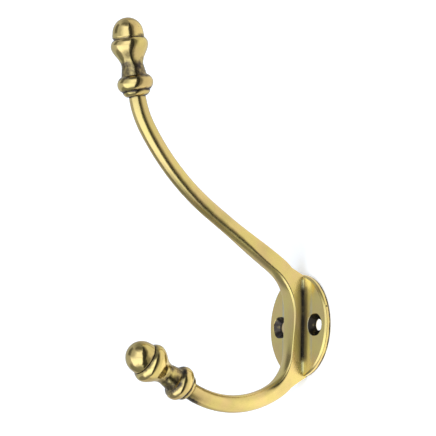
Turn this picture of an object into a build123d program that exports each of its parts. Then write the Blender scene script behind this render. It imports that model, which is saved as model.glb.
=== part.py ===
from build123d import *
import os
from math import acos, degrees, radians, sin, tan

# Hat and coat hook, one brass casting, in millimetres and degrees.
# The origin is the centre of the back face that lies on the wall.
# X runs to the right of someone facing the wall, Y into the wall, Z up.

# Back plate
PLATE_DIAMETER = 40.0
PLATE_THICKNESS = 2.3
PLATE_RIM = 1.6
BEVEL_WIDTH = 0.8
RIM_ROUND = 0.2

# Two countersunk screw holes, level with the plate's centre, their countersinks stretched sideways
HOLE_SPACING = 24.4
HOLE_DIAMETER = 4.4
COUNTERSINK_DIAMETER = 8.4
COUNTERSINK_ANGLE = 90.0
COUNTERSINK_STRETCH = 1.3

# Stem that stands on the plate, and its flare where each arm leaves the wall
STEM_WIDTH = 8.5
STEM_PROUD = 6.15
STEM_DEPTH = 6.2
STEM_EDGE_ROUND = 1.0
STEM_TAPER_END = 17.0
THROAT_HEIGHT = 5.0
UPPER_FOOT_INSET = 1.25
UPPER_FOOT_ANGLE = 27.2
LOWER_FOOT_OUTSET = 0.2
LOWER_FOOT_ANGLE = 31.8

# Upper arm, from the throat of the stem to its finial
UPPER_DIAMETER = 6.5
UPPER_ROOT_RADIUS = 21.85
UPPER_ROOT_ANGLE = 56.2
UPPER_RUN = 34.1
UPPER_SWEEP_RADIUS = 95.7
UPPER_SWEEP_ANGLE = 25.1
UPPER_TIP_RADIUS = 34.6
UPPER_TIP_ANGLE = 20.4
UPPER_FLAT_END = 24.0
UPPER_ROUND_START = 48.0

# Lower arm, from the same throat to its finial
LOWER_DIAMETER = 6.8
LOWER_STEM_RADIUS = 150.0
LOWER_STEM_ANGLE = 6.24
LOWER_ROOT_RADIUS = 19.2
LOWER_ROOT_ANGLE = 54.66
LOWER_SWEEP_RADIUS = 37.6
LOWER_SWEEP_ANGLE = 58.4
LOWER_FLAT_END = 19.0
LOWER_ROUND_START = 41.0

# Acorn finials: collar, bead, neck, cup and nut, wider on the lower arm and a little askew on the upper
COLLAR_DIAMETER = 10.5
COLLAR_LENGTH = 2.1
COLLAR_ROUND = 2.3
BEAD_DIAMETER = 13.7
BEAD_ROUND = 3.2
BEAD_CREASE = 0.2
NECK_BASE_DIAMETER = 9.6
NECK_DIAMETER = 8.3
NECK_LENGTH = 4.0
CUP_FLARE = 7.6
CUP_LIP_ROUND = 3.0
NUT_SIDE_ROUND = 14.0
NUT_GROOVE_HEIGHT = 0.45
NUT_GROOVE_DEPTH = 0.4
UPPER_CUP_DIAMETER = 14.2
UPPER_NUT_DIAMETER = 12.1
UPPER_NUT_LENGTH = 7.8
UPPER_NUT_TILT_ANGLE = 4.5
LOWER_CUP_DIAMETER = 15.4
LOWER_NUT_DIAMETER = 12.6
LOWER_NUT_LENGTH = 7.4

# How the loft of the stem and arms is made
UPPER_SECTION_COUNT = 18
LOWER_SECTION_COUNT = 12
ROUNDNESS = 0.95
WALL_OVERLAP = 1.0
JOIN_OVERLAP = 0.4
JOIN_STEP = 0.15
PLUG_DEPTH = 1.5

PLATE_RADIUS = PLATE_DIAMETER / 2
UPPER_FOOT_HEIGHT = PLATE_RADIUS - UPPER_FOOT_INSET
LOWER_FOOT_HEIGHT = PLATE_RADIUS + LOWER_FOOT_OUTSET
SIDE = Plane(origin=(0, 0, 0), x_dir=(0, -1, 0), z_dir=(-1, 0, 0))
THROAT = (STEM_PROUD - STEM_DEPTH / 2, THROAT_HEIGHT)


def make_plate():
    """Round bevelled plate with its flat back on the wall."""
    face_radius = PLATE_RADIUS - BEVEL_WIDTH
    section = make_face(
        Polyline(
            (0, 0),
            (PLATE_RADIUS, 0),
            (PLATE_RADIUS, -PLATE_RIM),
            (face_radius, -PLATE_THICKNESS),
            (0, -PLATE_THICKNESS),
            close=True,
        )
    )
    rim_edge = section.vertices().filter_by(lambda v: v.X > face_radius and v.Y < 0)
    section = fillet(rim_edge, RIM_ROUND)
    return revolve(section, Axis.Y)


def make_screw_hole(x):
    """Countersunk clearance hole through the plate."""
    half_angle = radians(COUNTERSINK_ANGLE / 2)
    depth = (COUNTERSINK_DIAMETER - HOLE_DIAMETER) / 2 / tan(half_angle)
    from_front = (Align.CENTER, Align.CENTER, Align.MIN)
    mouth = SlotCenterToCenter(COUNTERSINK_STRETCH, COUNTERSINK_DIAMETER)
    sink = extrude(mouth, depth, taper=COUNTERSINK_ANGLE / 2)
    bore = Cylinder(HOLE_DIAMETER / 2, PLATE_THICKNESS, align=from_front)
    seat = Plane(origin=(x, -PLATE_THICKNESS, 0), x_dir=(1, 0, 0), z_dir=(0, 1, 0))
    return seat * (sink + bore)


def upper_path():
    """Centreline of the upper arm in the side plane: out, straight, then up to the finial."""
    root = JernArc(THROAT, (0, 1), UPPER_ROOT_RADIUS, -UPPER_ROOT_ANGLE)
    run = Line(root @ 1, root @ 1 + (root % 1) * UPPER_RUN)
    sweep_bend = JernArc(run @ 1, run % 1, UPPER_SWEEP_RADIUS, UPPER_SWEEP_ANGLE)
    tip = JernArc(sweep_bend @ 1, sweep_bend % 1, UPPER_TIP_RADIUS, UPPER_TIP_ANGLE)
    return Wire([root, run, sweep_bend, tip])


def lower_path():
    """Centreline of the lower arm in the side plane: down the stem, out and up."""
    stem = JernArc(THROAT, (0, -1), LOWER_STEM_RADIUS, LOWER_STEM_ANGLE)
    root = JernArc(stem @ 1, stem % 1, LOWER_ROOT_RADIUS, LOWER_ROOT_ANGLE)
    sweep_bend = JernArc(root @ 1, root % 1, LOWER_SWEEP_RADIUS, LOWER_SWEEP_ANGLE)
    return Wire([stem, root, sweep_bend])


def ease(value, start, end):
    """Smooth step from 0 at start to 1 at end."""
    t = min(max((value - start) / (end - start), 0), 1)
    return t * t * (3 - 2 * t)


def back_reach(point, heading, foot_height, foot_angle):
    """Distance from the centreline back to the foot's sloping outline, or into the wall."""
    out, along = abs(heading.X), abs(heading.Y)
    rise = tan(radians(foot_angle))
    to_outline = (foot_height + rise * point.X - abs(point.Y)) / (out + rise * along)
    return min(to_outline, (point.X + WALL_OVERLAP) / along) if along else to_outline


def arm_sections(path, up, count, diameter, flat_end, round_start, foot_height, foot_angle):
    """Cross-sections along an arm, from the flat-sided stem to the round bar."""
    sections = []
    for step in range(count + 1):
        travelled = path.length * step / count
        point = path.position_at(travelled, position_mode=PositionMode.LENGTH)
        heading = path.tangent_at(travelled, position_mode=PositionMode.LENGTH)
        rounding = ease(travelled, flat_end, round_start)
        back_width = STEM_WIDTH + (diameter - STEM_WIDTH) * rounding
        front_width = STEM_WIDTH + (diameter - STEM_WIDTH) * ease(travelled, 0, STEM_TAPER_END)
        front = (STEM_DEPTH + (diameter - STEM_DEPTH) * rounding) / 2
        flare = max(back_reach(point, heading, foot_height, foot_angle) - front, 0)
        back = front + flare * (1 - rounding)
        corner = STEM_EDGE_ROUND + (ROUNDNESS * diameter / 2 - STEM_EDGE_ROUND) * rounding
        plane = Plane(
            origin=SIDE.from_local_coords(point),
            x_dir=(1, 0, 0),
            z_dir=SIDE.from_local_coords(heading) * (-1 if up else 1),
        )
        outline = Polygon(
            (-front_width / 2, front),
            (-back_width / 2, -back),
            (back_width / 2, -back),
            (front_width / 2, front),
            align=None,
        )
        sections.append(plane * fillet(outline.vertices(), corner))
    return sections


def make_stem_and_arms(upper, lower):
    """One loft from the upper finial through the stem to the lower finial, flat on the wall."""
    above = arm_sections(
        upper,
        True,
        UPPER_SECTION_COUNT,
        UPPER_DIAMETER,
        UPPER_FLAT_END,
        UPPER_ROUND_START,
        UPPER_FOOT_HEIGHT,
        UPPER_FOOT_ANGLE,
    )
    below = arm_sections(
        lower,
        False,
        LOWER_SECTION_COUNT,
        LOWER_DIAMETER,
        LOWER_FLAT_END,
        LOWER_ROUND_START,
        LOWER_FOOT_HEIGHT,
        LOWER_FOOT_ANGLE,
    )
    bar = loft(above[::-1] + below[1:])
    size = bar.bounding_box().size
    behind_wall = Box(size.X, size.Y, 3 * size.Z, align=(Align.CENTER, Align.MIN, Align.CENTER))
    return bar - behind_wall


def cup_section(arm_diameter, cup_diameter, nut_diameter):
    """Half outline of a finial up to the flat top of its cup, and the height of that top."""
    foot = (arm_diameter / 2 + JOIN_STEP, 0)
    collar_edge = (COLLAR_DIAMETER / 2, COLLAR_LENGTH)
    bead_axis = BEAD_DIAMETER / 2 - BEAD_ROUND
    start_angle = acos((COLLAR_DIAMETER / 2 - BEAD_CREASE - bead_axis) / BEAD_ROUND)
    end_angle = acos((NECK_BASE_DIAMETER / 2 - bead_axis) / BEAD_ROUND)
    bead_centre = COLLAR_LENGTH + BEAD_ROUND * sin(start_angle)
    neck_base = bead_centre + BEAD_ROUND * sin(end_angle)
    waist = (NECK_DIAMETER / 2, neck_base + NECK_LENGTH)
    cup_edge = (cup_diameter / 2, waist[1] + CUP_FLARE)
    lip_axis = cup_diameter / 2 - CUP_LIP_ROUND
    lip_angle = acos((nut_diameter / 2 - lip_axis) / CUP_LIP_ROUND)
    top = cup_edge[1] + CUP_LIP_ROUND * sin(lip_angle)

    collar = RadiusArc(foot, collar_edge, -COLLAR_ROUND)
    bead = CenterArc(
        (bead_axis, bead_centre), BEAD_ROUND, -degrees(start_angle), degrees(start_angle + end_angle)
    )
    crease = Line(collar @ 1, bead @ 0)
    neck = Line(bead @ 1, waist)
    cup = Spline(waist, cup_edge, tangents=((0, 1), (0, 1)))
    lip = CenterArc((lip_axis, cup_edge[1]), CUP_LIP_ROUND, 0, degrees(lip_angle))
    core = Polyline(lip @ 1, (0, top), (0, -JOIN_OVERLAP), (foot[0], -JOIN_OVERLAP), foot)
    return make_face([collar, crease, bead, neck, cup, lip, core]), top


def nut_section(diameter, length):
    """Half outline of a nut above its base, on a plug that leaves a groove above the cup."""
    side_inset = NUT_SIDE_ROUND - diameter / 2
    side_excess = NUT_SIDE_ROUND - length
    tip_offset = (side_inset**2 + side_excess**2) / (2 * side_excess)
    side_turn = degrees(acos(side_inset / tip_offset))
    tip_radius = NUT_SIDE_ROUND - tip_offset
    plug_radius = diameter / 2 - NUT_GROOVE_DEPTH
    plug_foot = -NUT_GROOVE_HEIGHT - PLUG_DEPTH

    side = JernArc((diameter / 2, 0), (0, 1), NUT_SIDE_ROUND, side_turn)
    tip = CenterArc((0, length - tip_radius), tip_radius, side_turn, 90 - side_turn)
    plug = Polyline((0, length), (0, plug_foot), (plug_radius, plug_foot), (plug_radius, 0), side @ 0)
    return make_face([side, tip, plug])


def make_finial(path, arm_diameter, cup_diameter, nut_diameter, nut_length, nut_tilt):
    """Finial turned about the end of an arm, its nut leaning back towards the wall."""
    axis = SIDE.from_local_coords(path % 1)
    across = Vector(1, 0, 0)
    seat = Plane(origin=SIDE.from_local_coords(path @ 1), x_dir=across, z_dir=across.cross(axis))
    outline, top = cup_section(arm_diameter, cup_diameter, nut_diameter)
    cup = revolve(outline, Axis.Y)
    nut = revolve(nut_section(nut_diameter, nut_length), Axis.Y)
    return seat * (cup + Pos(0, top + NUT_GROOVE_HEIGHT, 0) * Rot(-nut_tilt, 0, 0) * nut)


def make_hook():
    upper = upper_path()
    lower = lower_path()
    hook = make_plate() + make_stem_and_arms(upper, lower)
    hook += make_finial(
        upper, UPPER_DIAMETER, UPPER_CUP_DIAMETER, UPPER_NUT_DIAMETER, UPPER_NUT_LENGTH, UPPER_NUT_TILT_ANGLE
    )
    hook += make_finial(lower, LOWER_DIAMETER, LOWER_CUP_DIAMETER, LOWER_NUT_DIAMETER, LOWER_NUT_LENGTH, 0)
    for x in (-HOLE_SPACING / 2, HOLE_SPACING / 2):
        hook -= make_screw_hole(x)
    return hook


hook_casting = make_hook()

os.makedirs("parts", exist_ok=True)
export_step(hook_casting, "parts/hook_casting.step")
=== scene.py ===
"""Hat and coat hook: one aged brass casting on a white wall, in metres, in the part's own frame."""
from math import acos, atan2, cos, hypot, pi, radians, sin, sqrt, tan

import bmesh
import bpy
import numpy as np
from mathutils import Matrix, Vector, noise


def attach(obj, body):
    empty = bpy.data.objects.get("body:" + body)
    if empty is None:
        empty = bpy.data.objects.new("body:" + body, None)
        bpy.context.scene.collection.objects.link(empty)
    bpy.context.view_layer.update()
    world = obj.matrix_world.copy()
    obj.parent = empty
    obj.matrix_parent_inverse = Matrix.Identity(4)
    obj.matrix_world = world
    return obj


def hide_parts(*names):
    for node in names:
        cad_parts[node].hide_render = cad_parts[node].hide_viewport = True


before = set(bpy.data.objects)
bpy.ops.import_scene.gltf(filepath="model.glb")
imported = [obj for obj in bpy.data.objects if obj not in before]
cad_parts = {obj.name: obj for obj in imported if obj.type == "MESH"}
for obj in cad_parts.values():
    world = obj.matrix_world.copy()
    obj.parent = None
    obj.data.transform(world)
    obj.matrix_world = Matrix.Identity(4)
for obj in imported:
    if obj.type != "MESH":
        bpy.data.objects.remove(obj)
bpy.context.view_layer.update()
MM = 0.001

# The part's own sizes, in millimetres and degrees
PLATE_RADIUS = 20.0
PLATE_THICKNESS = 2.3
PLATE_RIM = 1.6
BEVEL_WIDTH = 0.8
HOLE_SPACING = 24.4
HOLE_DIAMETER = 4.4
COUNTERSINK_DIAMETER = 8.4
COUNTERSINK_STRETCH = 1.3
STEM_WIDTH = 8.5
STEM_PROUD = 6.15
STEM_DEPTH = 6.2
STEM_EDGE_ROUND = 1.0
STEM_TAPER_END = 17.0
THROAT_HEIGHT = 5.0
UPPER = dict(
    diameter=6.5,
    heading=0.0,
    bends=((21.85, 56.2), (34.1, None), (95.7, -25.1), (34.6, -20.4)),
    flat_end=24.0,
    round_start=48.0,
    foot_height=18.75,
    foot_angle=27.2,
    cup_diameter=14.2,
    nut_diameter=12.1,
    nut_length=7.8,
    nut_tilt=4.5,
    edge_round=1.0,
)
LOWER = dict(
    diameter=6.8,
    heading=180.0,
    bends=((150.0, -6.24), (19.2, -54.66), (37.6, -58.4)),
    flat_end=19.0,
    round_start=41.0,
    foot_height=20.2,
    foot_angle=31.8,
    cup_diameter=15.4,
    nut_diameter=12.6,
    nut_length=7.4,
    nut_tilt=0.0,
    edge_round=0.4,
)
COLLAR_DIAMETER = 10.5
COLLAR_LENGTH = 2.1
COLLAR_ROUND = 2.3
BEAD_DIAMETER = 13.7
BEAD_ROUND = 3.2
BEAD_CREASE = 0.2
NECK_BASE_DIAMETER = 9.6
NECK_DIAMETER = 8.3
NECK_LENGTH = 4.0
CUP_FLARE = 7.6
CUP_LIP_ROUND = 3.0
NUT_SIDE_ROUND = 14.0
NUT_GROOVE_HEIGHT = 0.45
NUT_GROOVE_DEPTH = 0.4
NUT_PLUG_DEPTH = 1.5

# Crown of the front faces, and where along an arm it and the front edges change
STEM_CROWN = 0.12
ARM_CROWN = 0.65
CROWN_LIFT = 0.4
CROWN_RISE = (6, 24)
EDGE_CHANGE = (2, 11)

# Small breaks of the edges: how far from the edge, and how far from the face or the nut's foot
FACE_BREAK = (0.12, 0.035)
RIM_BREAK = (0.05, 0.03)
SINK_LIP = ((0.12, -0.03), (0.05, 0.03), (-0.1, 0.14))
NUT_FOOT_BREAK = ((0.05, 0.04), (0.15, 0.0))

# Steps down the rim and up the countersink's slope, and the angle in radians at which the nut's side ends
RIM_STEP = 0.2
SINK_STEPS = (0.9, 0.1)
NUT_SIDE_END = 0.012

# Mesh steps
RING_SPACING = 0.8
CORNER_STEPS = 11
FLAT_STEPS = 14
FLANK_STEPS = 24
FLANK_REACH = 0.8
COLLAR_STEPS = 14
BEAD_STEPS = 34
NECK_STEPS = 10
CUP_STEPS = 27
LIP_STEPS = 20
NUT_TIP_STEPS = 26
NUT_SIDE_STEPS = 20
NUT_STEPS = 128
PLATE_STEPS = 240
FACE_RINGS = 28
FACE_MARGIN = 0.5
BEVEL_STEPS = 5
SIDE_RINGS = 4
UNDER_RINGS = 16
UNDER_MARGIN = 1.0
HOLE_STEPS = 96
SEAM_TURN = 0.01
SHARP_ANGLE = 32

# Trimming: how far the stem's foot runs behind the wall, the block that cuts it off, and the welds
FOOT_PAST_WALL = 1.0
WALL_GAP = 0.05
TRIM_LOW = (-10, -WALL_GAP, -40)
TRIM_HIGH = (10, 10, 40)
CUTTER_CLEAR = 1.0
CUTTER_FLARE = 1.2
WELD = 0.002
SLIT_SIDES = 6


def ease(value, start, end):
    """Smooth step from 0 at start to 1 at end."""
    t = min(max((value - start) / (end - start), 0), 1)
    return t * t * (3 - 2 * t)


def path_length(arm):
    """Length of an arm from the throat to its finial."""
    return sum(size if turn is None else size * radians(abs(turn)) for size, turn in arm["bends"])


def along(arm, travelled):
    """Distance from the wall, height and heading after travelling along an arm's bends and runs."""
    out, height, heading = STEM_PROUD - STEM_DEPTH / 2, THROAT_HEIGHT, radians(arm["heading"])
    for size, turn in arm["bends"]:
        length = size if turn is None else size * radians(abs(turn))
        step = min(travelled, length)
        if turn is None:
            out += step * sin(heading)
            height += step * cos(heading)
        else:
            radius = size if turn > 0 else -size
            turned = heading + step / radius
            out += radius * (cos(heading) - cos(turned))
            height += radius * (sin(turned) - sin(heading))
            heading = turned
        travelled -= step
    return out, height, heading


def ring_angles():
    """Directions of a ring's points: close together at the four corners, even along the sides."""
    right = [atan2(t, 1) for t in np.linspace(-FLANK_REACH, FLANK_REACH, FLANK_STEPS + 1)]
    corner = list(np.linspace(right[-1], pi / 2 - right[-1], CORNER_STEPS + 1))[1:-1]
    front = list(np.linspace(pi / 2 - right[-1], pi / 2 + right[-1], FLAT_STEPS + 1))
    upper = corner + front + [pi - a for a in reversed(corner)]
    return right + upper + [pi - a for a in reversed(right)] + [-a for a in reversed(upper)]


ANGLES = ring_angles()


def outline_point(half_width, half_depth, corner, angle):
    """Where a ray from the middle of a rounded rectangle leaves it."""
    ux, uy = half_width * cos(angle), half_depth * sin(angle)
    inner_x, inner_y = half_width - corner, half_depth - corner
    if abs(uy / cos(angle)) <= inner_y:
        scale = 1 / abs(cos(angle))
    elif abs(ux / sin(angle)) <= inner_x:
        scale = 1 / abs(sin(angle))
    else:
        square = ux * ux + uy * uy
        dot = abs(ux) * inner_x + abs(uy) * inner_y
        rest = inner_x**2 + inner_y**2 - corner**2
        scale = (dot + sqrt(max(dot * dot - square * rest, 0))) / square
    return scale * ux, scale * uy


def foot_reach(arm, out, height, heading):
    """How far the section's back reaches, square to the path, to the sloping end of the stem's foot."""
    rise = tan(radians(arm["foot_angle"]))
    across, lengthwise = abs(sin(heading)), abs(cos(heading))
    reach = (arm["foot_height"] + rise * out - abs(height)) / (across + rise * lengthwise)
    if lengthwise > 1e-6:
        reach = min(reach, (out + FOOT_PAST_WALL) / lengthwise)
    return reach


def arm_ring(arm, travelled):
    """One closed ring of points round the stem or an arm."""
    out, height, heading = along(arm, travelled)
    facing = 1 if arm is UPPER else -1
    front_out, front_up = facing * cos(heading), -facing * sin(heading)
    diameter = arm["diameter"]
    rounding = ease(travelled, arm["flat_end"], arm["round_start"])
    back_width = STEM_WIDTH + (diameter - STEM_WIDTH) * rounding
    front_width = STEM_WIDTH + (diameter - STEM_WIDTH) * ease(travelled, 0, STEM_TAPER_END)
    front = (STEM_DEPTH + (diameter - STEM_DEPTH) * rounding) / 2
    back = front + max(foot_reach(arm, out, height, heading) - front, 0) * (1 - rounding)
    back_corner = STEM_EDGE_ROUND + (diameter / 2 - STEM_EDGE_ROUND) * rounding
    edge = STEM_EDGE_ROUND + (arm["edge_round"] - STEM_EDGE_ROUND) * ease(travelled, *EDGE_CHANGE)
    front_corner = edge + (diameter / 2 - edge) * rounding
    half_depth, middle = (front + back) / 2, (front - back) / 2
    crown = (STEM_CROWN + (ARM_CROWN - STEM_CROWN) * ease(travelled, *CROWN_RISE)) * (1 - rounding)
    ring = []
    for angle in ANGLES:
        corner = front_corner if angle > 0 else back_corner
        x, y = outline_point(front_width / 2, half_depth, corner, angle)
        if y > 0:
            y += crown * (CROWN_LIFT - (2 * x / front_width) ** 2) * y / half_depth
        x *= 1 + (back_width / front_width - 1) * (half_depth - y) / (2 * half_depth)
        ring.append((x, -out - front_out * (y + middle), height + front_up * (y + middle)))
    return ring


def arc(centre, radius, start, end, steps):
    """Points along an arc, from one angle to the other, in radians."""
    angles = np.linspace(start, end, steps + 1)
    return [(centre[0] + radius * cos(a), centre[1] + radius * sin(a)) for a in angles]


def collar_outline(foot):
    """Rounded side of the collar, from the end of the arm to the crease under the bead."""
    edge = (COLLAR_DIAMETER / 2, COLLAR_LENGTH)
    chord = hypot(edge[0] - foot[0], edge[1] - foot[1])
    sag = sqrt(COLLAR_ROUND**2 - chord**2 / 4)
    middle = ((foot[0] + edge[0]) / 2, (foot[1] + edge[1]) / 2)
    centre = (
        middle[0] - sag * (edge[1] - foot[1]) / chord,
        middle[1] + sag * (edge[0] - foot[0]) / chord,
    )
    start = atan2(foot[1] - centre[1], foot[0] - centre[0])
    end = atan2(edge[1] - centre[1], edge[0] - centre[0])
    return arc(centre, COLLAR_ROUND, start, end, COLLAR_STEPS)


def flare_outline(waist, edge):
    """Hollow side of the cup: it leaves the waist and reaches its edge along the axis."""
    pull = hypot(edge[0] - waist[0], edge[1] - waist[1])
    points = []
    for i in range(CUP_STEPS):
        t = i / CUP_STEPS
        swing = t * t * (3 - 2 * t)
        rise = swing * CUP_FLARE + pull * (t - 3 * t * t + 2 * t**3)
        points.append((waist[0] + (edge[0] - waist[0]) * swing, waist[1] + rise))
    return points


def cup_outline(arm):
    """Half outline of a finial up to its cup's top: radius, and distance from the end of the arm."""
    collar = collar_outline((arm["diameter"] / 2, 0.0))
    bead_axis = BEAD_DIAMETER / 2 - BEAD_ROUND
    start = acos((COLLAR_DIAMETER / 2 - BEAD_CREASE - bead_axis) / BEAD_ROUND)
    end = acos((NECK_BASE_DIAMETER / 2 - bead_axis) / BEAD_ROUND)
    bead_centre = COLLAR_LENGTH + BEAD_ROUND * sin(start)
    bead = arc((bead_axis, bead_centre), BEAD_ROUND, -start, end, BEAD_STEPS)
    base = bead[-1]
    waist = (NECK_DIAMETER / 2, bead_centre + BEAD_ROUND * sin(end) + NECK_LENGTH)
    shares = [i / NECK_STEPS for i in range(1, NECK_STEPS)]
    neck = [(base[0] + (waist[0] - base[0]) * t, base[1] + (waist[1] - base[1]) * t) for t in shares]
    cup_edge = (arm["cup_diameter"] / 2, waist[1] + CUP_FLARE)
    lip_axis = cup_edge[0] - CUP_LIP_ROUND
    lip_turn = acos((arm["nut_diameter"] / 2 - lip_axis) / CUP_LIP_ROUND)
    lip = arc((lip_axis, cup_edge[1]), CUP_LIP_ROUND, 0, lip_turn, LIP_STEPS)
    return collar + bead + neck + flare_outline(waist, cup_edge) + lip + [(0, lip[-1][1])]


def nut_outline(arm):
    """Half outline of a nut, from the tip down to the foot of the plug that holds it in the cup."""
    radius = arm["nut_diameter"] / 2
    inset, excess = NUT_SIDE_ROUND - radius, NUT_SIDE_ROUND - arm["nut_length"]
    offset = (inset**2 + excess**2) / (2 * excess)
    turn = acos(inset / offset)
    tip_round = NUT_SIDE_ROUND - offset
    tip = arc((0, arm["nut_length"] - tip_round), tip_round, pi / 2, turn, NUT_TIP_STEPS)
    side = arc((-inset, 0), NUT_SIDE_ROUND, turn, NUT_SIDE_END, NUT_SIDE_STEPS)[1:]
    edge = [(radius - inward, up) for inward, up in NUT_FOOT_BREAK]
    plug = radius - NUT_GROOVE_DEPTH
    foot = -NUT_GROOVE_HEIGHT - NUT_PLUG_DEPTH
    return tip + side + edge + [(plug, 0), (plug, foot), (0, foot)]


def finial_frame(arm):
    """End of an arm, its finial's axis, its nut's seat and its nut's axis."""
    out, height, heading = along(arm, path_length(arm))
    lean = heading - radians(arm["nut_tilt"])
    end = np.array((0.0, -out, height))
    axis = np.array((0.0, -sin(heading), cos(heading)))
    nut_axis = np.array((0.0, -sin(lean), cos(lean)))
    return end, axis, end + axis * (cup_outline(arm)[-1][1] + NUT_GROOVE_HEIGHT), nut_axis


def finial_rings(arm, start_ring):
    """Rings of a finial, turned about the end of the arm, on the same directions as the arm's last ring."""
    end, axis, _, _ = finial_frame(arm)
    directions = np.array(start_ring) - end
    directions /= np.linalg.norm(directions, axis=1, keepdims=True)
    return [end + axis * distance + directions * radius for radius, distance in cup_outline(arm)[1:]]


def mesh_object(name, points, faces):
    """Object made of points in millimetres, with its faces turned outwards."""
    mesh = bpy.data.meshes.new(name)
    mesh.from_pydata([Vector(p) * MM for p in points], [], faces)
    work = bmesh.new()
    work.from_mesh(mesh)
    bmesh.ops.recalc_face_normals(work, faces=work.faces)
    work.to_mesh(mesh)
    work.free()
    result = bpy.data.objects.new(name, mesh)
    bpy.context.scene.collection.objects.link(result)
    return result


def tube_of_rings(name, rings):
    """Closed mesh through a run of rings whose first and last are points."""
    around = len(rings[1])
    points = [tuple(rings[0][0])]
    for ring in rings[1:-1]:
        points.extend(tuple(p) for p in ring)
    points.append(tuple(rings[-1][0]))
    last = len(points) - 1
    base = last - around
    faces = []
    for i in range(around):
        j = (i + 1) % around
        faces.append((0, 1 + i, 1 + j))
        for ring in range(len(rings) - 3):
            low, high = 1 + ring * around, 1 + (ring + 1) * around
            faces.append((low + i, high + i, high + j, low + j))
        faces.append((base + i, last, base + j))
    return mesh_object(name, points, faces)


def lathe(name, outline, steps, origin=(0, 0, 0), axis=(0, 1, 0), stretch=None):
    """Closed mesh turned about an axis square to X: the outline is radius and distance along the axis."""
    origin, axis, across = np.array(origin), np.array(axis), np.array((1.0, 0.0, 0.0))
    other = np.cross(axis, across)
    rings = []
    for index, (radius, distance) in enumerate(outline):
        centre = origin + axis * distance
        widen = stretch[index] / 2 if stretch else 0.0
        ring = []
        for a in np.linspace(SEAM_TURN, SEAM_TURN + 2 * pi, steps, endpoint=False):
            shift = widen if cos(a) > 0 else -widen
            ring.append(centre + across * (radius * cos(a) + shift) + other * radius * sin(a))
        rings.append(ring)
    return tube_of_rings(name, rings)


def join(target, other, operation):
    """Joins or cuts two closed meshes, keeps the result in the first and closes the slits left in it."""
    step = target.modifiers.new(operation, "BOOLEAN")
    step.object = other
    step.operation = operation
    step.solver = "EXACT"
    graph = bpy.context.evaluated_depsgraph_get()
    result = bpy.data.meshes.new_from_object(target.evaluated_get(graph))
    target.modifiers.clear()
    target.data = result
    bpy.data.objects.remove(other)
    clean = bmesh.new()
    clean.from_mesh(result)
    bmesh.ops.remove_doubles(clean, verts=clean.verts, dist=WELD * MM)
    bmesh.ops.dissolve_degenerate(clean, edges=clean.edges, dist=WELD * MM)
    bmesh.ops.holes_fill(clean, edges=[edge for edge in clean.edges if edge.is_boundary], sides=SLIT_SIDES)
    clean.to_mesh(result)
    clean.free()


def make_bar():
    """Stem, both arms and both finials as one closed mesh."""
    halves = []
    for arm in (UPPER, LOWER):
        length = path_length(arm)
        steps = round(length / RING_SPACING)
        rings = [arm_ring(arm, length * i / steps) for i in range(steps + 1)]
        halves.append(rings + finial_rings(arm, rings[-1]))
    bar = tube_of_rings("hook", halves[0][::-1] + halves[1][1:])
    xs, ys, zs = zip(TRIM_LOW, TRIM_HIGH)
    corners = [(x, y, z) for x in xs for y in ys for z in zs]
    sides = [(0, 1, 3, 2), (4, 6, 7, 5), (0, 4, 5, 1), (2, 3, 7, 6), (0, 2, 6, 4), (1, 5, 7, 3)]
    join(bar, mesh_object("behind_wall", corners, sides), "DIFFERENCE")
    for arm in (UPPER, LOWER):
        _, _, seat, axis = finial_frame(arm)
        join(bar, lathe("nut", nut_outline(arm), NUT_STEPS, seat, axis), "UNION")
    return bar


def plate_outline():
    """Half outline of the plate, from the middle of its face round its edge to the middle of its back."""
    face_radius = PLATE_RADIUS - BEVEL_WIDTH
    front, rim = -PLATE_THICKNESS, -PLATE_RIM
    inward, down = RIM_BREAK
    face = [(r, front) for r in np.linspace(0, face_radius - FACE_MARGIN, FACE_RINGS)]
    edge = [(face_radius - FACE_BREAK[0], front), (face_radius, front + FACE_BREAK[1])]
    shares = [i / BEVEL_STEPS for i in range(1, BEVEL_STEPS)]
    slope = [(face_radius + BEVEL_WIDTH * t, front + (rim - front) * t) for t in shares]
    shoulder = [(PLATE_RADIUS - inward, rim + down), (PLATE_RADIUS, rim + RIM_STEP)]
    side = [(PLATE_RADIUS, y) for y in np.linspace(rim + 2 * RIM_STEP, -RIM_STEP, SIDE_RINGS)]
    back = [(PLATE_RADIUS - inward, -inward), (PLATE_RADIUS - RIM_STEP, 0)]
    under = [(r, 0) for r in np.linspace(PLATE_RADIUS - UNDER_MARGIN, 0, UNDER_RINGS)]
    return face + edge + slope + shoulder + side + back + under


def make_plate():
    """Round plate with a chamfered edge and two countersunk holes."""
    plate = lathe("plate", plate_outline(), PLATE_STEPS)
    front = -PLATE_THICKNESS
    wide, narrow = COUNTERSINK_DIAMETER / 2, HOLE_DIAMETER / 2
    sink = wide - narrow
    countersink = [
        (0, front - CUTTER_CLEAR),
        (wide + CUTTER_FLARE, front - CUTTER_CLEAR),
        *((wide + outward, front + down) for outward, down in SINK_LIP),
        *((narrow + step, front + sink - step) for step in SINK_STEPS),
    ]
    bore = [(narrow, front + sink), (narrow, CUTTER_CLEAR), (0, CUTTER_CLEAR)]
    stretch = [COUNTERSINK_STRETCH] * len(countersink) + [0.0] * len(bore)
    for x in (-HOLE_SPACING / 2, HOLE_SPACING / 2):
        cutter = lathe("cutter", countersink + bore, HOLE_STEPS, (x, 0, 0), stretch=stretch)
        join(plate, cutter, "DIFFERENCE")
    return plate


def make_hook():
    """The whole casting as one mesh, smooth between its sharp edges."""
    casting = make_bar()
    join(casting, make_plate(), "UNION")
    casting.data.polygons.foreach_set("use_smooth", [True] * len(casting.data.polygons))
    casting.data.set_sharp_from_angle(angle=radians(SHARP_ANGLE))
    return casting


# Places on a finial, in millimetres from the end of its arm or from its axis
BEAD_SHOULDER = 7.3
NECK_MIDDLE = 10.4
FINIAL_RADIUS = 9.5
FINIAL_START = -1
FINIAL_LENGTH = 31

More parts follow.
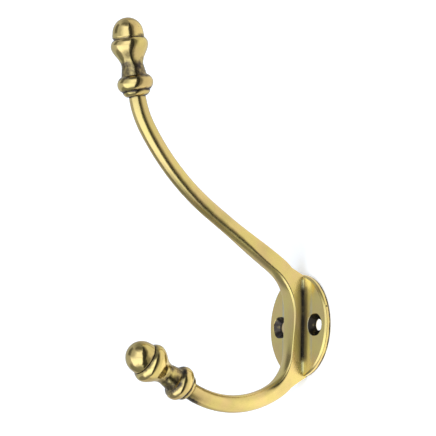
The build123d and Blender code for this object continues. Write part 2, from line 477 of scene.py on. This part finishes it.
# Dark rings on a finial: how dark, and how far from its place a ring starts and ends to fade
COLLAR_FOOT_RING = (0.8, 0.1, 0.7)
CREASE_RING = (0.85, 0.15, 1.1)
SHOULDER_RING = (0.7, 0.2, 1.3)
NECK_RING = (0.66, 2.0, 5.5)
GROOVE_RING = (0.5, 0.3, 1.5)
GROOVE_BOTTOM_RING = (0.9, 0.2, 0.5)
GROOVE_INSIDE = 0.1

# Smudges before the lower finial, painted shade in the holes and a painted contact shadow along the rim's
# back edge: lengths in millimetres, darks up to 1
SMUDGE_DARK = 0.8
SMUDGE_LENGTH = (2.5, 9)
SMUDGE_WIDTH = (1.2, 3.1)
SMUDGE_RADIUS = 4.5
RIGHT_HOLE_DARK = 1.0
LEFT_HOLE_DARK = 0.92
HOLE_DARK_PAST = 0.05
HOLE_DARK_BELOW = 0.08
RIM_SHADOW_WIDTH = (0.25, 0.3)
RIM_SHADOW_HEIGHT = (0.4, 0.85)

# Satin finish round the throat, and the unevenness of the casting: how high and how long
SATIN_REACH = 20
SATIN_FALL = 22
SATIN_LOSS = 0.55
SATIN_END = 1.5
LUMPS = ((0.035, 2.3), (0.02, 0.95))
SWELL = (0.05, 8)
LUMPS_IN_DARK = 1.3
FLAT_BACK = 0.3


def finial_place(arm, points):
    """Distance along a finial's axis from the end of its arm, and distance from that axis, for each point."""
    end, axis, _, _ = finial_frame(arm)
    relative = points - end
    distance = relative @ axis
    return distance, np.linalg.norm(relative - distance[:, None] * axis, axis=1)


def near(values, centre, inner, outer):
    """1 within inner of a centre, falling to 0 at outer."""
    t = np.clip((outer - np.abs(values - centre)) / (outer - inner), 0, 1)
    return t * t * (3 - 2 * t)


def dark_ring(distance, place, dark, inner, outer):
    """Dark ring round a finial, at a place along its axis."""
    return dark * near(distance, place, inner, outer)


def finial_patina(arm, points):
    """Dark rings left in the hollows of a finial."""
    distance, radius = finial_place(arm, points)
    groove = cup_outline(arm)[-1][1] + NUT_GROOVE_HEIGHT / 2
    in_groove = radius < arm["nut_diameter"] / 2 - GROOVE_INSIDE
    rings = (
        dark_ring(distance, 0.0, *COLLAR_FOOT_RING),
        dark_ring(distance, COLLAR_LENGTH, *CREASE_RING),
        dark_ring(distance, BEAD_SHOULDER, *SHOULDER_RING),
        dark_ring(distance, NECK_MIDDLE, *NECK_RING),
        dark_ring(distance, groove, *GROOVE_RING),
        dark_ring(distance, groove, *GROOVE_BOTTOM_RING) * in_groove,
    )
    on_finial = (radius < FINIAL_RADIUS) * (distance > FINIAL_START) * (distance < FINIAL_LENGTH)
    return np.max(rings, axis=0) * on_finial


def patina_and_shade_of(points):
    """How dark each point is: patina left in the hollows when the casting was polished, smudges, painted
    shade in the holes and a painted contact shadow along the rim.
    """
    x, away, z = np.abs(points[:, 0]), -points[:, 1], points[:, 2]
    distance, radius = finial_place(LOWER, points)
    smudge = SMUDGE_DARK * near(distance, 0, *SMUDGE_LENGTH) * near(x, 0, *SMUDGE_WIDTH)
    smudge *= (radius < SMUDGE_RADIUS) * (distance < 0)
    # Painted shade in the countersinks, darker in the right one
    hole = np.hypot(np.maximum(np.abs(x - HOLE_SPACING / 2) - COUNTERSINK_STRETCH / 2, 0), z)
    sunk = (hole < COUNTERSINK_DIAMETER / 2 + HOLE_DARK_PAST) * (away < PLATE_THICKNESS - HOLE_DARK_BELOW)
    holes = sunk * np.where(points[:, 0] > 0, RIGHT_HOLE_DARK, LEFT_HOLE_DARK)
    # Painted contact shadow along the rim's back edge
    rim = near(np.hypot(x, z), PLATE_RADIUS, *RIM_SHADOW_WIDTH) * near(away, 0, *RIM_SHADOW_HEIGHT)
    return np.max((finial_patina(UPPER, points), finial_patina(LOWER, points), smudge, holes, rim), axis=0)


def satin_of(points):
    """How satin the finish is: 0 on the bright finials, 1 on the plate and stem."""
    reach = np.hypot(-points[:, 1], points[:, 2] - THROAT_HEIGHT)
    satin = 1 - SATIN_LOSS * np.clip((reach - SATIN_REACH) / SATIN_FALL, 0, 1)
    for arm in (UPPER, LOWER):
        distance, radius = finial_place(arm, points)
        on_finial = (radius < FINIAL_RADIUS) * (distance < FINIAL_LENGTH)
        satin *= 1 - np.clip(distance + SATIN_END, 0, 1) * on_finial
    return satin


def uneven(points, normals, satin, patina_and_shade):
    """Points moved in and out a few hundredths of a millimetre, as a hand-finished casting is."""
    moved = points.copy()
    for index, (point, normal) in enumerate(zip(points, normals)):
        place, share = Vector(point), satin[index]
        lump = sum(size * noise.noise(place / length) for size, length in LUMPS)
        swell = SWELL[0] * noise.noise(place / SWELL[1])
        if point[1] < -FLAT_BACK:
            rough = lump * (1 + LUMPS_IN_DARK * patina_and_shade[index])
            moved[index] += normal * ((1 - share) * rough + share * swell)
    return moved


def read_vectors(items, field):
    """A field of three numbers from each item, as rows."""
    values = np.empty(len(items) * 3)
    items.foreach_get(field, values)
    return values.reshape(-1, 3)


def wear(casting):
    """Stores the casting's patina with its painted shade, and its satin, at its points, and makes its surface
    uneven.
    """
    mesh = casting.data
    points = read_vectors(mesh.vertices, "co") / MM
    normals = read_vectors(mesh.vertex_normals, "vector")
    satin, patina_and_shade = satin_of(points), patina_and_shade_of(points)
    mesh.attributes.new("patina_and_shade", "FLOAT", "POINT").data.foreach_set("value", patina_and_shade)
    mesh.attributes.new("satin", "FLOAT", "POINT").data.foreach_set("value", satin)
    mesh.vertices.foreach_set("co", (uneven(points, normals, satin, patina_and_shade) * MM).ravel())
    mesh.update()


class Nodes:
    """Short calls for building a node tree."""

    def __init__(self, owner):
        owner.use_nodes = True
        self.tree = owner.node_tree
        self.tree.nodes.clear()

    def add(self, kind, settings=None, **inputs):
        """Adds a node. An input's name has underscores for spaces."""
        node = self.tree.nodes.new(kind)
        for name, value in (settings or {}).items():
            setattr(node, name, value)
        for name, value in inputs.items():
            self.put(node, name.replace("_", " "), value)
        return node

    def put(self, node, name, value):
        """Links or sets an input, given by its name or number."""
        socket = node.inputs[name]
        if isinstance(value, bpy.types.NodeSocket):
            self.tree.links.new(value, socket)
        else:
            socket.default_value = value

    def math(self, operation, *values):
        node = self.add("ShaderNodeMath", {"operation": operation})
        for index, value in enumerate(values):
            self.put(node, index, value)
        return node.outputs[0]

    def product(self, first, *others):
        for other in others:
            first = self.math("MULTIPLY", first, other)
        return first

    def largest(self, first, second):
        return self.math("MAXIMUM", first, second)

    def ramp(self, value, start, end, low=0.0, high=1.0):
        """Smooth step of a value, from low at start to high at end."""
        node = self.add("ShaderNodeMapRange", {"interpolation_type": "SMOOTHSTEP"}, Value=value)
        for name, number in (("From Min", start), ("From Max", end), ("To Min", low), ("To Max", high)):
            node.inputs[name].default_value = number
        return node.outputs[0]

    def fade(self, value, start, end):
        """Smooth step of a value, from 1 at start to 0 at end."""
        return self.ramp(value, start, end, 1.0, 0.0)

    def between(self, value, rise_start, rise_end, fall_start, fall_end):
        """Rises from 0 to 1 between the first two numbers and falls back between the last two."""
        return self.product(self.ramp(value, rise_start, rise_end), self.fade(value, fall_start, fall_end))

    def mix(self, factor, first, second):
        """Mix of two colours."""
        node = self.add("ShaderNodeMix", {"data_type": "RGBA"})
        for index, value in ((0, factor), (6, first), (7, second)):
            self.put(node, index, value)
        return node.outputs[2]

    def blend(self, factor, first, second):
        """Mix of two numbers."""
        node = self.add("ShaderNodeMix", {"data_type": "FLOAT"})
        for index, value in ((0, factor), (2, first), (3, second)):
            self.put(node, index, value)
        return node.outputs[0]

    def choose(self, factor, first, second):
        """Mix of two shaders."""
        node = self.add("ShaderNodeMixShader")
        for index, value in enumerate((factor, first, second)):
            self.put(node, index, value)
        return node.outputs[0]

    def noise(self, place, scale, detail, roughness):
        node = self.add("ShaderNodeTexNoise", Vector=place, Scale=scale, Detail=detail, Roughness=roughness)
        return node.outputs["Fac"]

    def place(self):
        """Place on the object, in metres."""
        return self.add("ShaderNodeTexCoord").outputs["Object"]

    def parts(self, vector):
        return self.add("ShaderNodeSeparateXYZ", Vector=vector).outputs

    def distance(self, place, point):
        """Distance from a point, in millimetres."""
        node = self.add("ShaderNodeVectorMath", {"operation": "DISTANCE"})
        self.put(node, 0, place)
        self.put(node, 1, [c * MM for c in point])
        return self.math("MULTIPLY", node.outputs["Value"], 1 / MM)

    def attribute(self, name):
        return self.add("ShaderNodeAttribute", {"attribute_name": name}).outputs["Fac"]


# Colours of the brass: two shades of polish, a painted highlight, rubbed metal, tarnish, the dark left in
# hollows (also used for painted shade), grime with painted shade in the corner, and the black of painted
# shade in the right hole and along the rim's back edge
POLISHED = (0.70, 0.56, 0.19, 1)
WARM = (0.72, 0.535, 0.215, 1)
# A painted highlight: the bright patch on the plate's face and the thin lines at the corner's ends
PAINTED_HIGHLIGHT = (1.0, 0.97, 0.66, 1)
RUBBED = (0.57, 0.53, 0.35, 1)
TARNISH = (0.40, 0.31, 0.13, 1)
# Patina in the hollows; it also colours painted shade in the holes, along the rim and in the corner's foot
# line
PATINA_AND_SHADE = (0.055, 0.046, 0.040, 1)
# Grime with painted shade, in the corner between stem and plate
GRIME_AND_SHADE = (0.15, 0.135, 0.115, 1)
# Black painted shade in the right hole and along the rim's back edge
PAINTED_SHADE_DARK = (0.022, 0.018, 0.014, 1)

# Roughness of its finishes
BRIGHT_FINISH = 0.12
SATIN_FINISH = 0.21
# Roughness of the painted highlight patch
HIGHLIGHT_PATCH_FINISH = 0.08
FLANK_FINISH = 0.42
DARK_FINISH = 0.26

# Noises that break up the wear and the painted shade: how fine in a metre, how many octaves and how rough
CLOUD_NOISE = dict(scale=260.0, detail=5.0, roughness=0.65)
DRIFT_NOISE = dict(scale=70.0, detail=3.0, roughness=0.55)
HUE_NOISE = dict(scale=130.0, detail=2.0, roughness=0.5)
GRAIN_NOISE = dict(scale=900.0, detail=3.0, roughness=0.6)
NOISE_MIDDLE = 0.5

# Zones of wear, of painted shade in the corner and of painted highlights, in millimetres: beside the stem,
# above the plate's face, and up from the plate's middle
# Grime with painted shade in the corner between stem and plate
CORNER_DARK_WIDTH = (2.0, 4.1)
CORNER_DARK_ABOVE = (-0.3, -0.1, 0.4, 1.5)
CORNER_DARK_LEVELS = (-16.5, -11.0, 13.0, 18.0)
CORNER_DARK_RAGGED = (1.6, 8.0)
# Darker painted shade line at the foot of the corner
FOOT_LINE_ABOVE = (0.02, 0.3, 0.4, 0.9)
FACE_ABOVE = (-0.1, -0.04, 0.02, 0.1)
# The painted highlight patch on the plate's face beside the stem
HIGHLIGHT_PATCH_BESIDE = (1.0, 2.0, 4.5, 6.5)
HIGHLIGHT_PATCH_LEVEL = (13.0, 16.0)
RUBBED_BESIDE = (5.5, 7.0)
# Painted highlight lines at the ends of the corner
EDGE_LINE_ABOVE = (0.06, 0.12, 0.45, 0.65)
EDGE_LINE_TOP = (13.5, 15.0)
EDGE_LINE_BOTTOM = (-14.5, -13.0)
EDGE_LINE_END = (17.3, 18.2)
FLANK_ABOVE = (0.02, 0.1, 3.2, 4.6)
FLANK_BESIDE = (-0.9, -0.3, 0.2, 0.4)
FLANK_LEVELS = (-15, -12, 11.5, 14.0)
BACK_EDGE_ABOVE = (0.01 - PLATE_THICKNESS, 0.06 - PLATE_THICKNESS)
DULL_ARM_LEVEL = (50, 85)
RIM_PIT = (18.85, -1.05, 6.8)
RIM_PIT_SIZE = (0.25, 0.5)

# How strong the wear, the painted shade and the painted highlight lines are, and where they start and end in
# the noises and in the stored patina, painted shade and satin
HUE_RANGE = (0.35, 0.65)
TARNISH_RANGE = (0.38, 0.68)
TARNISH_ON_FINIALS = 0.55
TARNISH_ON_PLATE = 0.22
DULL_ARM = 0.38
DULL_ARM_SATIN = (0.1, 0.4)
PITS_RANGE = (0.6, 0.72)
PITS_ON_FINIALS = 0.5
DARK_BREAK = 1.5
DARK_RANGE = (0.2, 0.95)
DARK_START = (0.0, 0.15)
# Where the dark turns into black painted shade
PAINTED_SHADE_DARK_START = (0.93, 0.99)
# Where the corner's grime and painted shade break up in the clouds
CORNER_DARK_CLOUDS = (0.2, 0.6, 0.75, 1.0)
# Strength of the painted highlight lines
EDGE_LINE_STRENGTH = 0.85
SATIN_CHANGE = (0.0, 0.4)
GRAIN_FINISH = (0.3, 0.75, -0.01, 0.02)


def corner_grime_and_shade(n, cloud, beside, above, level):
    """Grime and painted shade in the corner between the stem's sides and the plate, ragged at its edges, and
    its colour.
    """
    ragged = n.math("SUBTRACT", cloud, NOISE_MIDDLE)
    wide = n.math("MULTIPLY_ADD", ragged, CORNER_DARK_RAGGED[0], beside)
    tall = n.math("MULTIPLY_ADD", ragged, CORNER_DARK_RAGGED[1], level)
    reach = n.product(
        n.fade(wide, *CORNER_DARK_WIDTH),
        n.between(above, *CORNER_DARK_ABOVE),
        n.between(tall, *CORNER_DARK_LEVELS),
    )
    colour = n.mix(n.between(above, *FOOT_LINE_ABOVE), GRIME_AND_SHADE, PATINA_AND_SHADE)
    return n.product(reach, n.ramp(cloud, *CORNER_DARK_CLOUDS)), colour


def painted_highlight_line(n, above, level):
    """Thin painted highlight lines at the two ends of the corner between stem and plate."""
    ends = n.math("ADD", n.ramp(level, *EDGE_LINE_TOP), n.fade(level, *EDGE_LINE_BOTTOM))
    within = n.ramp(n.math("ABSOLUTE", level), *EDGE_LINE_END, EDGE_LINE_STRENGTH, 0.0)
    return n.product(n.between(above, *EDGE_LINE_ABOVE), ends, within)


def make_brass():
    """Aged brass: polished high spots, satin plate and stem, dark hollows, painted shade in the holes and at
    the rim, grime and painted shade in the corner, and painted highlights on the plate's face beside the
    stem.
    """
    brass = bpy.data.materials.new("aged_brass")
    n = Nodes(brass)
    place = n.place()
    x, y, z = n.parts(place)
    beside = n.math("MULTIPLY_ADD", n.math("ABSOLUTE", x), 1 / MM, -STEM_WIDTH / 2)
    above = n.math("MULTIPLY_ADD", y, -1 / MM, -PLATE_THICKNESS)
    level = n.math("MULTIPLY", z, 1 / MM)
    cloud = n.noise(place, **CLOUD_NOISE)
    drift = n.noise(place, **DRIFT_NOISE)
    hue = n.noise(place, **HUE_NOISE)
    grain = n.noise(place, **GRAIN_NOISE)
    patina_and_shade, satin = n.attribute("patina_and_shade"), n.attribute("satin")

    # Clean metal, rubbed on the plate's face beside the stem, with a painted highlight patch near its top
    face = n.between(above, *FACE_ABOVE)
    highlight_patch = n.product(n.ramp(level, *HIGHLIGHT_PATCH_LEVEL), face, n.between(beside, *HIGHLIGHT_PATCH_BESIDE))
    rubbed = n.product(n.fade(beside, *RUBBED_BESIDE), face)
    polished = n.mix(n.ramp(hue, *HUE_RANGE), POLISHED, WARM)
    clean = n.mix(highlight_patch, n.mix(rubbed, polished, RUBBED), PAINTED_HIGHLIGHT)

    # Tarnish in clouds and in fine pits, and the upper arm darkened with the tarnish colour towards its end
    dull = n.product(n.ramp(drift, *TARNISH_RANGE), n.blend(satin, TARNISH_ON_FINIALS, TARNISH_ON_PLATE))
    dull_arm = n.product(n.ramp(level, *DULL_ARM_LEVEL), DULL_ARM, n.ramp(satin, *DULL_ARM_SATIN))
    pits = n.product(n.ramp(grain, *PITS_RANGE), n.blend(satin, PITS_ON_FINIALS, 0.0))
    colour = n.mix(n.largest(n.largest(dull, dull_arm), pits), clean, TARNISH)

    # Dark hollows with broken edges (patina, painted shade in the holes and a painted contact shadow along
    # the rim) and a pit in the rim. The plate's back is clean.
    broken = n.math("MULTIPLY_ADD", n.math("SUBTRACT", cloud, NOISE_MIDDLE), DARK_BREAK, patina_and_shade)
    hollows = n.product(n.ramp(broken, *DARK_RANGE), n.ramp(patina_and_shade, *DARK_START))
    rim_pit = n.fade(n.distance(place, RIM_PIT), *RIM_PIT_SIZE)
    dark = n.product(n.largest(hollows, rim_pit), n.ramp(above, *BACK_EDGE_ABOVE))
    colour = n.mix(dark, colour, n.mix(n.ramp(patina_and_shade, *PAINTED_SHADE_DARK_START), PATINA_AND_SHADE, PAINTED_SHADE_DARK))

    # Grime and painted shade in the corner between stem and plate
    grime_and_shade, grime_and_shade_colour = corner_grime_and_shade(n, cloud, beside, above, level)
    colour = n.mix(grime_and_shade, colour, grime_and_shade_colour)
    # Painted highlight lines at the ends of the corner
    colour = n.mix(painted_highlight_line(n, above, level), colour, PAINTED_HIGHLIGHT)

    polish = n.blend(highlight_patch, n.ramp(satin, *SATIN_CHANGE, BRIGHT_FINISH, SATIN_FINISH), HIGHLIGHT_PATCH_FINISH)
    flank = n.product(
        n.between(above, *FLANK_ABOVE),
        n.between(beside, *FLANK_BESIDE),
        n.between(level, *FLANK_LEVELS),
    )
    polish = n.blend(n.largest(dark, grime_and_shade), n.blend(flank, polish, FLANK_FINISH), DARK_FINISH)
    roughness = n.math("ADD", polish, n.ramp(grain, *GRAIN_FINISH))
    surface = n.add("ShaderNodeBsdfPrincipled", Base_Color=colour, Metallic=1.0, Roughness=roughness)
    n.add("ShaderNodeOutputMaterial", Surface=surface.outputs[0])
    return brass


# The wall: its size and place in millimetres, its white and faint glow, and the shade behind the left hole
WALL_SIZE = 3000
WALL_BACK = 0.2
WALL_WHITE = (0.85, 0.85, 0.85, 1)
WALL_GLOW = 0.37
HOLE_SHADE = (0.2, 0.16, 0.1, 1)
HOLE_SHADE_TINT = (1, 0.85, 0.5, 1)
HOLE_SHADE_GLOW = 0.3
HOLE_SHADE_EDGE = (3.5, 5.0)
WHITE = (1, 1, 1, 1)

# How the wall's brightness in the brass changes along it: from and to in millimetres, then the brightnesses
LEFT_OF_STEM = (-60, 0, 0.6, 1.0)
RIGHT_OF_PLATE = (80, 340, 1.0, 0.3)
OVER_HOOK = (130, 260, 1.0, 0.75)
UNDER_PLATE = (12, 55, 1.45, 1.1)
UNDER_PLATE_SPOT = (20, WALL_BACK, -30)


def make_wall_paint():
    """White paint, shaded behind the left hole. It shows only from the room, not from behind the plate."""
    paint = bpy.data.materials.new("white_wall")
    n = Nodes(paint)
    place = n.place()
    x, _, z = n.parts(place)
    across, level = n.math("MULTIPLY", x, 1 / MM), n.math("MULTIPLY", z, 1 / MM)
    shade = n.fade(n.distance(place, (-HOLE_SPACING / 2, WALL_BACK, 0)), *HOLE_SHADE_EDGE)
    lit = n.add("ShaderNodeBsdfDiffuse", Color=n.mix(shade, WALL_WHITE, HOLE_SHADE))
    tint = n.mix(shade, WHITE, HOLE_SHADE_TINT)
    glow = n.add("ShaderNodeEmission", Color=tint, Strength=n.blend(shade, WALL_GLOW, HOLE_SHADE_GLOW))
    painted = n.add("ShaderNodeAddShader")
    n.put(painted, 0, lit.outputs[0])
    n.put(painted, 1, glow.outputs[0])
    brightness = n.product(
        n.ramp(across, *LEFT_OF_STEM),
        n.ramp(level, *OVER_HOOK),
        n.ramp(n.distance(place, UNDER_PLATE_SPOT), *UNDER_PLATE),
        n.ramp(across, *RIGHT_OF_PLATE),
    )
    mirrored = n.add("ShaderNodeEmission", Color=WHITE, Strength=brightness)
    glossy = n.add("ShaderNodeLightPath").outputs["Is Glossy Ray"]
    front = n.choose(glossy, painted.outputs[0], mirrored.outputs[0])
    behind = n.add("ShaderNodeNewGeometry").outputs["Backfacing"]
    surface = n.choose(behind, front, n.add("ShaderNodeBsdfTransparent").outputs[0])
    n.add("ShaderNodeOutputMaterial", Surface=surface)
    return paint


def make_wall():
    """White wall just behind the plate."""
    half = WALL_SIZE / 2
    corners = [(x * half, WALL_BACK, z * half) for x, z in ((-1, -1), (1, -1), (1, 1), (-1, 1))]
    sheet = mesh_object("wall", corners, [(0, 1, 2, 3)])
    sheet.data.materials.append(make_wall_paint())
    return sheet


# Studio round the hook: bearings in degrees right of straight in front of the wall, heights above level
ROOM_HEIGHTS = (-70, -46, 46, 70)
ROOM_ENDS = 0.36
ROOM_MIDDLE = 0.67
ROOM_TINT = (0.94, 1.02, 1.14, 1)
LOW_LEFT_DIM = dict(bearings=(-108, -92, -38, -22), heights=(-86, -74, -34, -22), brightness=0.3)
LEFT_DARK = dict(bearings=(-64, -50, -31, -17), heights=(7, 12, 42.5, 47.5), brightness=0.2)
FRONT_LAMP = dict(bearings=(-6, 40, 60, 66), heights=(-8, 2, 33, 43), brightness=1.7)
CEILING_DARK = dict(bearings=(-26, -2, 52, 76), heights=(36, 56, 64, 84), brightness=0.2)
LOW_LAMP = dict(bearings=(-29, -19, 57, 67), heights=(-70, -42, -18, 10), brightness=1.8)
CAMERA_DARK = dict(bearings=(63, 69, 91, 97), heights=(-83, -67, 64, 80), brightness=0.05)
ZONES = (LOW_LEFT_DIM, LEFT_DARK, FRONT_LAMP, CEILING_DARK, LOW_LAMP, CAMERA_DARK)


def make_studio():
    """Surroundings that light the brass and show in it. The camera sees white.

    Each zone rises between its first two angles and falls between its last two.
    """
    studio = bpy.data.worlds.new("studio")
    n = Nodes(studio)
    x, y, z = n.parts(n.add("ShaderNodeTexCoord").outputs["Generated"])
    bearing = n.math("ARCTAN2", x, n.math("MULTIPLY", y, -1.0))
    height = n.math("ARCSINE", z)
    brightness = n.blend(n.between(height, *map(radians, ROOM_HEIGHTS)), ROOM_ENDS, ROOM_MIDDLE)
    for zone in ZONES:
        sideways = n.between(bearing, *map(radians, zone["bearings"]))
        upright = n.between(height, *map(radians, zone["heights"]))
        brightness = n.blend(n.product(sideways, upright), brightness, zone["brightness"])
    room = n.add("ShaderNodeBackground", Color=ROOM_TINT, Strength=brightness).outputs[0]
    white = n.add("ShaderNodeBackground", Color=WHITE, Strength=1.0).outputs[0]
    seen = n.add("ShaderNodeLightPath").outputs["Is Camera Ray"]
    n.add("ShaderNodeOutputWorld", Surface=n.choose(seen, room, white))
    return studio


# Camera: angles in degrees, distance in millimetres, and the plate's centre in the square picture in pixels
CAMERA_BEARING = 58.953
CAMERA_HEIGHT = -6.036
CAMERA_ROLL = 0.405
CAMERA_DISTANCE = 1000
PIXELS_PER_MM = 2.581
PICTURE_PIXELS = 436
PLATE_PIXEL_X = 302.045
PLATE_PIXEL_Y = 326.388
SENSOR_WIDTH = 36


def make_camera():
    """Camera that shows the plate at its place and size in the picture."""
    bearing, height, roll = radians(CAMERA_BEARING), radians(CAMERA_HEIGHT), radians(CAMERA_ROLL)
    back = Vector((sin(bearing) * cos(height), -cos(bearing) * cos(height), sin(height)))
    level_right = Vector((cos(bearing), sin(bearing), 0))
    level_up = back.cross(level_right)
    right = level_right * cos(roll) + level_up * sin(roll)
    up = level_up * cos(roll) - level_right * sin(roll)
    plate_right = (PLATE_PIXEL_X - PICTURE_PIXELS / 2) / PIXELS_PER_MM
    plate_up = (PICTURE_PIXELS / 2 - PLATE_PIXEL_Y) / PIXELS_PER_MM
    location = (back * CAMERA_DISTANCE - right * plate_right - up * plate_up) * MM
    optics = bpy.data.cameras.new("camera")
    optics.sensor_width = SENSOR_WIDTH
    optics.lens = PIXELS_PER_MM * CAMERA_DISTANCE / PICTURE_PIXELS * SENSOR_WIDTH
    viewer = bpy.data.objects.new("camera", optics)
    viewer.matrix_world = Matrix.Translation(location) @ Matrix((right, up, back)).transposed().to_4x4()
    bpy.context.scene.collection.objects.link(viewer)
    return viewer


hook = make_hook()
wear(hook)
hook.data.materials.clear()
hook.data.materials.append(make_brass())
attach(hook, "root")
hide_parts("hook_casting")

wall = make_wall()

bpy.context.scene.world = make_studio()
bpy.context.scene.camera = make_camera()
bpy.context.scene.view_settings.view_transform = "Standard"
